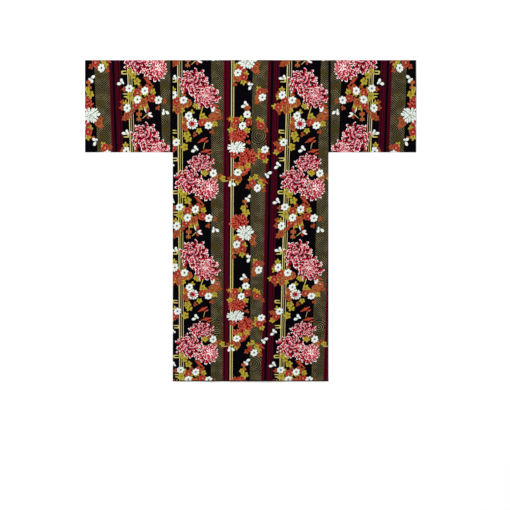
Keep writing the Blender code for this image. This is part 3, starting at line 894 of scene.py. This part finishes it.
def band_reach(tree, here, along):
    """What a band's lines are a wave of, from the place across and along the print. In a cell of
    lozenges it is the distances from the cell's middle across and along added up, in one of rings
    the straight distance from it, and in one of ridges the place along plus the distance across."""
    first = sums(tree, "LESS_THAN", here, (BAND_CENTRES[0] + BAND_CENTRES[1]) / 2)
    centre = sums(tree, "MULTIPLY_ADD", first, BAND_CENTRES[0] - BAND_CENTRES[1], BAND_CENTRES[1])
    off = sums(tree, "ABSOLUTE", sums(tree, "SUBTRACT", here, centre))
    ahead = sums(tree, "MULTIPLY", first, BAND_AHEAD)
    cell = sums(tree, "ADD", sums(tree, "DIVIDE", along, BAND_CELL), ahead)
    from_middle = sums(tree, "SUBTRACT", sums(tree, "FRACT", cell), 0.5)
    up = sums(tree, "ABSOLUTE", sums(tree, "MULTIPLY", from_middle, BAND_CELL))
    lozenge = sums(tree, "ADD", sums(tree, "MULTIPLY", off, LOZENGE_SLOPE), up)
    ring = sums(tree, "SQRT", sums(tree, "ADD", sums(tree, "POWER", off, 2.0),
                                   sums(tree, "POWER", up, 2.0)))
    ridge = sums(tree, "ADD", along, sums(tree, "MULTIPLY", off, RIDGE_SLOPE))
    numbers_ahead = sums(tree, "MULTIPLY", first, BAND_NUMBERS_AHEAD)
    number = sums(tree, "FLOOR", sums(tree, "ADD", cell, numbers_ahead))
    pick = made_of(tree, "TexWhiteNoise", {"noise_dimensions": "1D"}, {"W": number})
    reach = one_or_other(tree, sums(tree, "LESS_THAN", pick, RINGS_BELOW), lozenge, ring)
    return one_or_other(tree, sums(tree, "GREATER_THAN", pick, RIDGES_ABOVE), reach, ridge)


def stripes_group():
    """The stripes: the place across wraps to one repeat, its edges wander by less than half a
    millimetre, and a colour ramp holds every stripe. Over the bands lie their lines, faded in
    places, and smooth patches, and over the narrow stripes beside them a row of dots."""
    tree, takes, gives = node_group("cotton_stripes", {"Place": "Vector"}, {"Color": "Color"})
    place = takes["Place"]
    wander = sums(tree, "MULTIPLY_ADD", rough_of(tree, place, 130.0), STRIPE_WANDER,
                  -STRIPE_WANDER / 2)
    split = tree.nodes.new("ShaderNodeSeparateXYZ")
    join(tree, place, split.inputs[0])
    across = sums(tree, "MULTIPLY", sums(tree, "ADD", split.outputs[0], wander), 1000.0)
    along = sums(tree, "MULTIPLY", split.outputs[1], 1000.0)
    left, wide = FIRST_COLUMN[0], REPEAT[0]
    share = sums(tree, "FRACT", sums(tree, "DIVIDE", sums(tree, "SUBTRACT", across, left), wide))
    here = sums(tree, "MULTIPLY_ADD", share, wide, left)
    ramp = tree.nodes.new("ShaderNodeValToRGB")
    join(tree, share, ramp.inputs[0])
    ramp.color_ramp.interpolation = "CONSTANT"
    stops = ramp.color_ramp.elements
    for number, (start, colour, drawn) in enumerate(STRIPES):
        stop = stops[number] if number < 1 else stops.new((start - left) / wide)
        stop.position = (start - left) / wide
        stop.color = (*linear(colour), drawn)
    stops.remove(stops[len(STRIPES)])
    plain, drawn = ramp.outputs

    wave = waves(tree, band_reach(tree, here, along), BAND_PITCH)
    faded = rising(tree, rough_of(tree, place, 26.0, 1.0), 0.35, 0.60, 1.0, 0.55)
    lines = sums(tree, "MULTIPLY", rising(tree, wave, 0.15, 0.65), faded)
    patch = rising(tree, rough_of(tree, place, 30.0, 3.0), 0.52, 0.60, 0.0, 0.8)
    banded = mixed(tree, lines, ink(BAND_DARK), ink(BAND_LINES))
    banded = mixed(tree, patch, banded, ink(BAND_PATCH))
    dots = rising(tree, waves(tree, along, DOT_PITCH), -0.1, 0.2)
    dotted = mixed(tree, dots, ink(DOT_DARK), plain)
    with_dots = mixed(tree, rising(tree, drawn, 0.2, 0.4), plain, dotted)
    join(tree, mixed(tree, rising(tree, drawn, 0.7, 0.8), with_dots, banded), gives["Color"])
    return tree


CURLED_TIP = 0.28
CURLED_SIDE = 0.18


def strokes_group():
    """The strokes over the stripes: each stroke's fill is darker towards its base, and its rim
    shows where the distance from its middle line and from its wide part nears its outline, on a
    curled petal along one side and over its tip. A leaf has a vein in its rim's colour, and a
    kind below zero is painted shade, in the dark ground's ink."""
    tree, takes, gives = node_group(
        "cotton_strokes", {"Ground": "Color", "Stroke": "Vector", "Fill": "Color", "Rim": "Color"},
        {"Color": "Color"})
    split = tree.nodes.new("ShaderNodeSeparateXYZ")
    join(tree, takes["Stroke"], split.inputs[0])
    off, share, kind = split.outputs
    curled = rising(tree, kind, 2.4, 2.6)
    past = sums(tree, "MAXIMUM", sums(tree, "MULTIPLY_ADD", share, 2.0, -1.0), 0.0)
    past = sums(tree, "MULTIPLY", past, sums(tree, "MULTIPLY_ADD", curled, CURLED_TIP, 1.0))
    edge = sums(tree, "MULTIPLY_ADD", curled, CURLED_SIDE, off)
    out = sums(tree, "ADD", sums(tree, "POWER", sums(tree, "ABSOLUTE", edge), 2.0),
               sums(tree, "POWER", past, 2.0))
    rim = rising(tree, out, 0.60, 0.80)
    shade = rising(tree, share, 0.0, 0.55, 0.55, 1.0)
    fill = mixed(tree, 1.0, takes["Fill"], shade, "MULTIPLY")
    veined = sums(tree, "SUBTRACT", rising(tree, kind, 1.4, 1.6), curled)
    vein = sums(tree, "MULTIPLY", veined,
                rising(tree, sums(tree, "ABSOLUTE", off), 0.06, 0.16, 0.7, 0.0))
    inked = mixed(tree, sums(tree, "MAXIMUM", rim, vein), fill, takes["Rim"])
    colour = mixed(tree, rising(tree, kind, 0.4, 0.6), takes["Ground"], inked)
    # Painted shade: the dark ground's ink wherever the kind is below zero.
    colour = mixed(tree, rising(tree, kind, -0.6, -0.4, 1.0, 0.0), colour, ink("night"))
    join(tree, colour, gives["Color"])
    return tree


YARN_PITCH = 0.00055


def weave_group():
    """The plain weave: the product of two waves of two yarns lifts one yarn over the next, and
    two long thin noises make single yarns thicker and thinner both ways."""
    tree, takes, gives = node_group("cotton_weave", {"Place": "Vector"},
                                    {"Height": "Float", "Shade": "Float", "Slub": "Float"})
    place = takes["Place"]
    split = tree.nodes.new("ShaderNodeSeparateXYZ")
    join(tree, place, split.inputs[0])
    over = sums(tree, "MULTIPLY", waves(tree, split.outputs[0], 2 * YARN_PITCH),
                waves(tree, split.outputs[1], 2 * YARN_PITCH))
    warp = rough_of(tree, place, 1.0, 1.0, (900.0, 30.0, 1.0))
    weft = rough_of(tree, place, 1.0, 1.0, (26.0, 820.0, 1.0))
    slub = sums(tree, "ADD", warp, weft)
    join(tree, sums(tree, "MULTIPLY_ADD", over, 0.25, slub), gives["Height"])
    join(tree, sums(tree, "MULTIPLY_ADD", slub, 0.36, 0.66), gives["Shade"])
    join(tree, slub, gives["Slub"])
    return tree


def group_node(tree, group, inputs):
    """A node that uses a group; gives its outputs."""
    node = tree.nodes.new("ShaderNodeGroup")
    node.node_tree = group
    for label, value in inputs.items():
        join(tree, value, node.inputs[label])
    return node.outputs


FADED = (20, 14, 18)
INNER_GREY = (120, 108, 100)
PALER_INSIDE = 0.45


def cotton():
    """Printed yukata cotton: the print, darkened and lightened by the yarns and a little uneven
    in its dye, paler on the inner side where the ink has only come through, on a dry and barely
    glossy cloth."""
    material = bpy.data.materials.new("printed_cotton")
    material.use_nodes = True
    tree = material.node_tree
    shader = tree.nodes["Principled BSDF"]
    place = made_of(tree, "UVMap", {"uv_map": "Cloth"}, {})
    stroke, fill, rim, inner_side = (
        made_of(tree, "Attribute", {"attribute_name": name}, {}, output)
        for name, output in (("stroke_place", "Vector"), ("fill_ink", "Color"),
                             ("rim_ink", "Color"), ("inner_side", "Fac")))
    ground = group_node(tree, stripes_group(), {"Place": place})["Color"]
    printed = group_node(tree, strokes_group(), {
        "Ground": ground, "Stroke": stroke, "Fill": fill, "Rim": rim})["Color"]
    weave = group_node(tree, weave_group(), {"Place": place})
    shaded = mixed(tree, 1.0, printed, weave["Shade"], "MULTIPLY")
    uneven = rough_of(tree, place, 9.0, 3.0)
    shaded = mixed(tree, rising(tree, uneven, 0.35, 0.75, 0.0, 0.10), shaded, ink(FADED))
    inner = sums(tree, "MULTIPLY", inner_side, PALER_INSIDE)
    join(tree, mixed(tree, inner, shaded, ink(INNER_GREY)), shader.inputs["Base Color"])
    join(tree, sums(tree, "MULTIPLY_ADD", weave["Slub"], 0.16, 0.72), shader.inputs["Roughness"])
    bump = made_of(tree, "Bump", {}, {"Height": weave["Height"], "Strength": 0.35,
                                      "Distance": 0.00012})
    join(tree, bump, shader.inputs["Normal"])
    shader.inputs["Specular IOR Level"].default_value = 0.02
    shader.inputs["Sheen Weight"].default_value = 0.01
    shader.inputs["Sheen Roughness"].default_value = 0.5
    return material


printed_cotton = cotton()


# The body panels themselves. The cloth turns over the shoulder in a half circle as high as all
# that lies between, and the turned-up hems are painted dark at their folds, a painted shade.
# Lines and boxes of painted shade reach PAST a piece's edge, so that they cut it right through.
SHOULDER_TURN = 0.0035
TURN_FADE = 0.020
LOWER_LIFT = 0.45
# How wide the painted shade is along each hem's folded edge.
HEM_PAINTED_SHADE = 0.0035
HALF_GAP = GAP / 2
NECK_EASE = 0.008
EDGE_THIN = 0.45
PAST = 0.001


def rolled(edge):
    """How much of its thickness cloth keeps at a distance from its edge: a quarter ellipse, from
    EDGE_THIN at the edge."""
    near = 1.0 - np.clip(edge / EDGE_ROLL, 0.0, 1.0)
    return EDGE_THIN + (1 - EDGE_THIN) * np.sqrt(np.maximum(1.0 - near**2, 0.0))


def over_fold(r, radius, thick, reach):
    """Where cloth that turns over a fold at r = 0 lies: the distances down of its outer and its
    inner side, and how far each is from its flat height. The turn is a circle's arc, whose angle
    falls from reach right angles at the fold to none at SHOULDER_TURN."""
    angle = reach * np.pi / 2 * np.clip(1.0 - np.abs(r) / SHOULDER_TURN, 0.0, 1.0)
    start = radius * np.sin(reach * np.pi / 2)
    past = np.maximum(np.abs(r) - SHOULDER_TURN, 0.0)
    straight = np.abs(r) - (SHOULDER_TURN - start) * (1.0 - eased(past / TURN_FADE))
    turning = np.abs(r) < SHOULDER_TURN
    radii = (radius, radius - thick)
    downs = [np.where(turning, start - part * np.sin(angle), straight) for part in radii]
    return downs, [part * (1 - np.cos(angle)) for part in radii]


def placed(x, down, z):
    """Places in the garment's frame."""
    return np.stack([x, LENGTH / 2 - down, z], -1)


def two_sides(x, downs, drops, upper, lower, back, thick, edge):
    """The outer and inner side of cloth that is folded over, thinned towards its edge. The upper
    layer has its right side up and the lower one has it down, and by the fold each comes nearer
    to the other by the turn's drops."""
    outer_z = np.where(back, upper + thick - drops[0], lower + drops[0])
    inner_z = np.where(back, upper - drops[1], lower + thick + drops[1])
    outer, inner = placed(x, downs[0], outer_z), placed(x, downs[1], inner_z)
    return inner + (outer - inner) * rolled(edge)[:, None], inner


def face_down(x, down, base, thick, edge):
    """The outer and inner side of cloth that lies on its right side: its inner side is a
    thickness above the base, and its edge is thinned from below."""
    inner = placed(x, down, base + thick)
    return inner - np.stack([0 * x, 0 * x, thick * rolled(edge)], -1), inner


def body_surface(side):
    """A body panel's two sides: r goes down the back from the shoulder, and down the front
    where it is negative."""
    def surface(x, r):
        down, back = np.abs(r), r >= 0
        thick = cloth_at(down)
        under = right_base if side > 0 else lambda x, down: 0 * x
        radius = (back_base(x, 0 * x) + CLOTH - under(x, 0 * x)) / 2
        reach = 1 / 3 + 2 / 3 * eased((np.abs(x) - NECK_HALF + NECK_EASE) / NECK_EASE)
        downs, drops = over_fold(r, radius, thick, reach)
        raised = lift(x, down)
        start = np.where(back, HALF_GAP, HALF_GAP - front_seam(down))
        edge = np.minimum(np.minimum(np.abs(x) - start, BODY_HALF - np.abs(x)), LENGTH - down)
        return two_sides(x, downs, drops, back_base(x, down) + raised,
                         under(x, down) + LOWER_LIFT * raised, back, thick, edge)
    return surface


def rows(x0, x1, places):
    """Lines across a piece at each place along it."""
    return [((x0, r), (x1, r)) for r in places]


def box_of(x0, x1, r0, r1):
    """A rectangle's corners."""
    return [(x0, r0), (x1, r0), (x1, r1), (x0, r1)]


TURN_ROWS = [k * SHOULDER_TURN / 3 for k in range(-3, 4)]
HEM_ROWS = [LENGTH - HEM_BAND, LENGTH - HEM_BAND + HEM_STEP]
for side, name in ((-1, "body_panel_left"), (1, "body_panel_right")):
    tip, hem = front_seam(OVERLAP_TIP_DOWN), front_seam(LENGTH)
    shape = [(HALF_GAP, 0), (HALF_GAP, LENGTH), (BODY_HALF, LENGTH), (BODY_HALF, -LENGTH),
             (HALF_GAP - hem, -LENGTH), (HALF_GAP - tip, -OVERLAP_TIP_DOWN), (NECK_HALF, 0)]
    shape = [(side * a, r) for a, r in shape][:: -side]
    near, far = sorted((0.0, side * (BODY_HALF + PAST)))
    panel = cloth_piece(
        name, shape, rows(near, far, TURN_ROWS + HEM_ROWS + [-r for r in HEM_ROWS]),
        body_surface(side), way=LEFT_WAY if side < 0 else RIGHT_WAY,
        shade_boxes=[box_of(near, far, LENGTH - HEM_PAINTED_SHADE, LENGTH + PAST),
              box_of(near, far, -LENGTH - PAST, HEM_PAINTED_SHADE - LENGTH)])


# The sleeves: a straight width of the same cotton each, folded over the shoulder line and sewn
# up below and along the armhole, open at the cuff, whose edge is turned in and blind-stitched.
SLEEVE_DROP = sleeve_high.y - sleeve_low.y
SLEEVE_WAY = (0.036, 0.954, 0.0, (-500.0, 500.0), (-466.0, 466.0))
SLEEVE_PRINT = (228.0, 488.0)
# How wide the painted shade is on a sleeve beside its armhole seam, where the seam's fold lies.
ARMHOLE_PAINTED_SHADE = 0.010
SEAM_REACH = 0.92


def sleeve_surface(x, r):
    """A sleeve's two sides: a flat tube with a half turn at the shoulder and a little less than
    one below, where the two edges of the seam meet."""
    down, back = np.abs(r), r >= 0
    along = np.abs(x) - BODY_HALF
    thick = CLOTH + HEM_EXTRA * eased((along - SLEEVE_WIDTH + HEM_BAND) / HEM_STEP)
    radius = thick + HALF_GAP
    below = down > SLEEVE_DROP / 2
    offs, drops = over_fold(np.where(below, SLEEVE_DROP - down, down), radius, thick,
                            np.where(below, SEAM_REACH, 1.0))
    downs = [np.where(below, SLEEVE_DROP - off, off) for off in offs]
    raised = lift(x, down) * from_fold(SLEEVE_DROP - down)
    edge = np.minimum(along - GAP, SLEEVE_WIDTH - along)
    return two_sides(x, downs, drops, thick + GAP + raised, LOWER_LIFT * raised, back, thick, edge)


for side, name in ((-1, "sleeve_left"), (1, "sleeve_right")):
    low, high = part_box(name)
    shape = box_of(low.x, high.x, -SLEEVE_DROP, SLEEVE_DROP)
    turns = TURN_ROWS + [layer * (SLEEVE_DROP - k * SHOULDER_TURN / 3)
                         for layer in (-1, 1) for k in (1, 2, 3)]
    cuff = [side * (BODY_HALF + SLEEVE_WIDTH - HEM_BAND + k * HEM_STEP) for k in (0, 1)]
    lines = rows(low.x, high.x, turns)
    lines += [((x, -SLEEVE_DROP), (x, SLEEVE_DROP)) for x in cuff]
    # A strip of painted shade on the sleeve beside the armhole seam.
    inside, strip = sorted((side * (BODY_HALF - PAST), side * (BODY_HALF + ARMHOLE_PAINTED_SHADE)))
    sleeve = cloth_piece(
        name, shape, lines, sleeve_surface, shift=SLEEVE_PRINT, way=SLEEVE_WAY, mirrored=side > 0,
        shade_boxes=[box_of(inside, strip, -SLEEVE_DROP - PAST, SLEEVE_DROP + PAST)])


# The overlap panels: a long narrow panel of the same cotton on each front's edge, which runs to
# a point under the collar. They are hidden under the back, the right one over the left. Lines
# across a panel go from -ACROSS_IT to ACROSS_IT, which is wider than it is.
TIP_LOWERED = 0.014
ACROSS_IT = 0.2


def overlap_surface(side):
    """An overlap panel's two sides: its right side faces the floor."""
    def surface(x, r):
        down, past = -r, -side * x
        thick = cloth_at(down)
        base = right_base(x, down) if side > 0 else 0 * x
        base = base + LOWER_LIFT * lift(x, down)
        below = down > COLLAR_END_DOWN + HALF_GAP
        inner_edge = np.where(below, free_edge(down), collar_seam(down) - HALF_GAP)
        edge = np.minimum(past - front_seam(down) - HALF_GAP, inner_edge - past)
        return face_down(x, down, base, thick, np.minimum(edge, LENGTH - down))
    return surface


for side, name in ((-1, "overlap_panel_left"), (1, "overlap_panel_right")):
    start, end = OVERLAP_TIP_DOWN + TIP_LOWERED, COLLAR_END_DOWN + GAP
    shape = [
        (front_seam(start) + HALF_GAP, start), (front_seam(LENGTH) + HALF_GAP, LENGTH),
        (free_edge(LENGTH), LENGTH), (free_edge(end), end),
        (collar_seam(COLLAR_END_DOWN) - HALF_GAP, end), (collar_seam(start) - HALF_GAP, start)]
    shape = [(-side * float(past), -down) for past, down in shape][::-side]
    # Its hem's folded edge is painted dark, a painted shade.
    panel = cloth_piece(
        name, shape, rows(-ACROSS_IT, ACROSS_IT, [-r for r in HEM_ROWS]), overlap_surface(side),
        shade_boxes=[box_of(-ACROSS_IT, ACROSS_IT, -LENGTH - PAST, HEM_PAINTED_SHADE - LENGTH)])


# The collar: a band of the same cotton, folded along its length into four layers and sewn round
# the back of the neck and down both fronts, with a slanting join at each side of the neck.
ARM = COLLAR_END_DOWN * (1 + COLLAR_SLOPE**2) ** 0.5
COLLAR_LONG = 2 * ARM + 2 * NECK_HALF
COLLAR_TUCK = 0.0016
TUCK_REACH = 0.02
COLLAR_PRINT = (-216.0, -30.0)


def collar_surface(across, along):
    """The collar's two sides: each place is on a straight line from its sewn edge, which runs
    up one front, round the neck and down the other, to its folded edge."""
    right, left = along < ARM, along > ARM + 2 * NECK_HALF
    share = np.where(right, along / ARM, np.where(left, (COLLAR_LONG - along) / ARM, 1.0))
    side = np.where(right, -1.0, 1.0)
    neck_x = NECK_HALF - (along - ARM)
    mitre = free_edge(COLLAR_WIDTH)
    seam_down = COLLAR_END_DOWN * (1.0 - share)
    edge_down = COLLAR_END_DOWN + (COLLAR_WIDTH - COLLAR_END_DOWN) * share
    arm = right | left
    seam_x = np.where(arm, side * collar_seam(seam_down), neck_x)
    edge_x = np.where(arm, side * free_edge(edge_down), -mitre / NECK_HALF * neck_x)
    part = across / COLLAR_WIDTH
    x = seam_x + part * (edge_x - seam_x)
    down = seam_down + part * (edge_down - seam_down)
    down = down + COLLAR_TUCK * held_up(-down, TUCK_REACH) * (1 - part)
    base = np.where(right, right_base(x, down), 0.0) + LOWER_LIFT * lift(x, down)
    edge = np.minimum(np.minimum(across, COLLAR_WIDTH - across),
                      np.minimum(along, COLLAR_LONG - along))
    return face_down(x, down, base, COLLAR_THICK, edge)


collar = cloth_piece(
    "collar", box_of(0.0, COLLAR_WIDTH, 0.0, COLLAR_LONG),
    rows(0.0, COLLAR_WIDTH, [ARM, ARM + 2 * NECK_HALF]), collar_surface, shift=COLLAR_PRINT)


# The sewing: dark cotton thread, whose blind stitches hold the turned-up hems and the turned-in
# cuffs. Each shows on the right side as one short stitch, half sunk in the cloth.
STITCH_LONG = 0.0024
STITCH_RADIUS = 0.00030
STITCH_PITCH = 0.024
STITCH_RINGS = 5
STITCH_SIDES = 6
STITCH_ENDS = (0.06, 0.94)
SUNK = 0.5
ABOVE_HEM = 0.001
FROM_EDGE = 0.012
FROM_CUFF_END = 0.014
OVERLAP_STITCHES = (0.010 - OVERLAP_SEAM_AT_HEM, 0.086)
THREAD_DARK = (20, 16, 26)
THREAD_LIGHT = (58, 50, 62)


def thread():
    """Sewing thread: dark, faintly lustrous, with a noise for its twist."""
    material = bpy.data.materials.new("sewing_thread")
    material.use_nodes = True
    tree = material.node_tree
    shader = tree.nodes["Principled BSDF"]
    place = made_of(tree, "TexCoord", {}, {}, "Object")
    twist = rough_of(tree, place, 2600.0, 2.0)
    colour = mixed(tree, rising(tree, twist, 0.3, 0.7), ink(THREAD_DARK), ink(THREAD_LIGHT))
    join(tree, colour, shader.inputs["Base Color"])
    join(tree, sums(tree, "MULTIPLY_ADD", twist, 0.2, 0.5), shader.inputs["Roughness"])
    return material


def stitches(centres, runs, ups):
    """Short closed spindles, one at each centre: six-sided rings along its run, whose radius
    is the square root of a half sine along it."""
    share = np.linspace(*STITCH_ENDS, STITCH_RINGS)
    angle = np.arange(STITCH_SIDES) * np.pi / (STITCH_SIDES / 2)
    side = np.cross(runs, ups)
    radius = STITCH_RADIUS * np.sqrt(np.sin(np.pi * share))
    points = centres[:, None, None] + runs[:, None, None] * STITCH_LONG * (
        share - 0.5)[None, :, None, None]
    around_it = (side[:, None, None] * np.cos(angle)[None, None, :, None]
                 + ups[:, None, None] * np.sin(angle)[None, None, :, None])
    points = points + around_it * radius[None, :, None, None]
    number = np.arange(len(centres) * STITCH_RINGS * STITCH_SIDES)
    number = number.reshape(-1, STITCH_RINGS, STITCH_SIDES)
    after = np.roll(number, -1, axis=2)
    quads = np.stack([number[:, :-1], after[:, :-1], after[:, 1:], number[:, 1:]], -1)
    ends = np.concatenate([number[:, 0, ::-1], number[:, -1]])
    mesh = bpy.data.meshes.new("blind_stitches")
    mesh.from_pydata(points.reshape(-1, 3), [], quads.reshape(-1, 4).tolist() + ends.tolist())
    mesh.shade_smooth()
    mesh.materials.append(thread())
    piece = bpy.data.objects.new("blind_stitches", mesh)
    bpy.context.scene.collection.objects.link(piece)
    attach(piece, "root")
    return piece


def along_line(surface, x, r, run):
    """Stitch places on a cloth's outer side, and the way out of the cloth at each."""
    outer, inner = surface(x + 0 * r, r + 0 * x)
    up = np.zeros_like(outer)
    up[:, 2] = np.sign(outer[:, 2] - inner[:, 2])
    return outer - up * SUNK * STITCH_RADIUS, np.tile(run, (len(outer), 1)), up


ACROSS = (1.0, 0.0, 0.0)
LENGTHWISE = (0.0, 1.0, 0.0)
HEM_LINE = LENGTH - HEM_BAND - ABOVE_HEM
sewn = []
for side in (-1, 1):
    panel = body_surface(side)
    hem = stations(FROM_EDGE, BODY_HALF - FROM_EDGE, STITCH_PITCH) * side
    sewn.append(along_line(panel, hem, HEM_LINE, ACROSS))
    hem = stations(OVERLAP_SEAM_AT_HEM + FROM_EDGE, BODY_HALF - FROM_EDGE, STITCH_PITCH) * side
    sewn.append(along_line(panel, hem, -HEM_LINE, ACROSS))
    hem = stations(*OVERLAP_STITCHES, STITCH_PITCH) * -side
    sewn.append(along_line(overlap_surface(side), hem, -HEM_LINE, ACROSS))
    cuff = stations(FROM_CUFF_END, SLEEVE_DROP - FROM_CUFF_END, STITCH_PITCH)
    cuff_line = side * (BODY_HALF + SLEEVE_WIDTH - HEM_BAND - ABOVE_HEM)
    for layer in (-1, 1):
        sewn.append(along_line(sleeve_surface, cuff_line, layer * cuff, LENGTHWISE))
stitches(*(np.concatenate(parts) for parts in zip(*sewn)))


# The floor, the light and the camera: a pale plain floor, one large soft light from above in an
# even white light from all round, and the camera straight above the laid-out garment.
FLOOR_HALF = 6.0
FLOOR_LEVEL = -0.0002
FLOOR_PALE = 0.92
LIGHT_AT = (-2.6, 2.6, 5.0)
LENS = 85.0
SENSOR = 36.0
FRAME_WIDE = 2.0655
FRAME_MIDDLE = (0.018, -0.139)

floor_mesh = bpy.data.meshes.new("floor")
floor_corners = box_of(-FLOOR_HALF, FLOOR_HALF, -FLOOR_HALF, FLOOR_HALF)
floor_mesh.from_pydata([(x, y, FLOOR_LEVEL) for x, y in floor_corners], [], [(0, 1, 2, 3)])
floor = bpy.data.objects.new("floor", floor_mesh)
bpy.context.scene.collection.objects.link(floor)
floor_paint = bpy.data.materials.new("pale_floor")
floor_paint.use_nodes = True
paint = floor_paint.node_tree.nodes["Principled BSDF"]
paint.inputs["Base Color"].default_value = (FLOOR_PALE, FLOOR_PALE, FLOOR_PALE, 1.0)
paint.inputs["Roughness"].default_value = 0.9
paint.inputs["Specular IOR Level"].default_value = 0.1
floor_mesh.materials.append(floor_paint)

soft_light = bpy.data.lights.new("soft_light", "AREA")
soft_light.shape = "DISK"
soft_light.size = 3.0
soft_light.energy = 220.0
light = bpy.data.objects.new("soft_light", soft_light)
light.location = LIGHT_AT
light.rotation_euler = Vector(LIGHT_AT).to_track_quat("Z", "Y").to_euler()
bpy.context.scene.collection.objects.link(light)
world = bpy.data.worlds.new("studio")
world.use_nodes = True
world.node_tree.nodes["Background"].inputs["Color"].default_value = (1.0, 1.0, 1.0, 1.0)
world.node_tree.nodes["Background"].inputs["Strength"].default_value = 0.80
bpy.context.scene.world = world
bpy.context.scene.view_settings.view_transform = "Standard"

lens = bpy.data.cameras.new("camera")
lens.lens = LENS
lens.sensor_width = SENSOR
camera = bpy.data.objects.new("camera", lens)
camera.location = (*FRAME_MIDDLE, FRAME_WIDE * LENS / SENSOR)
bpy.context.scene.collection.objects.link(camera)
bpy.context.scene.camera = camera
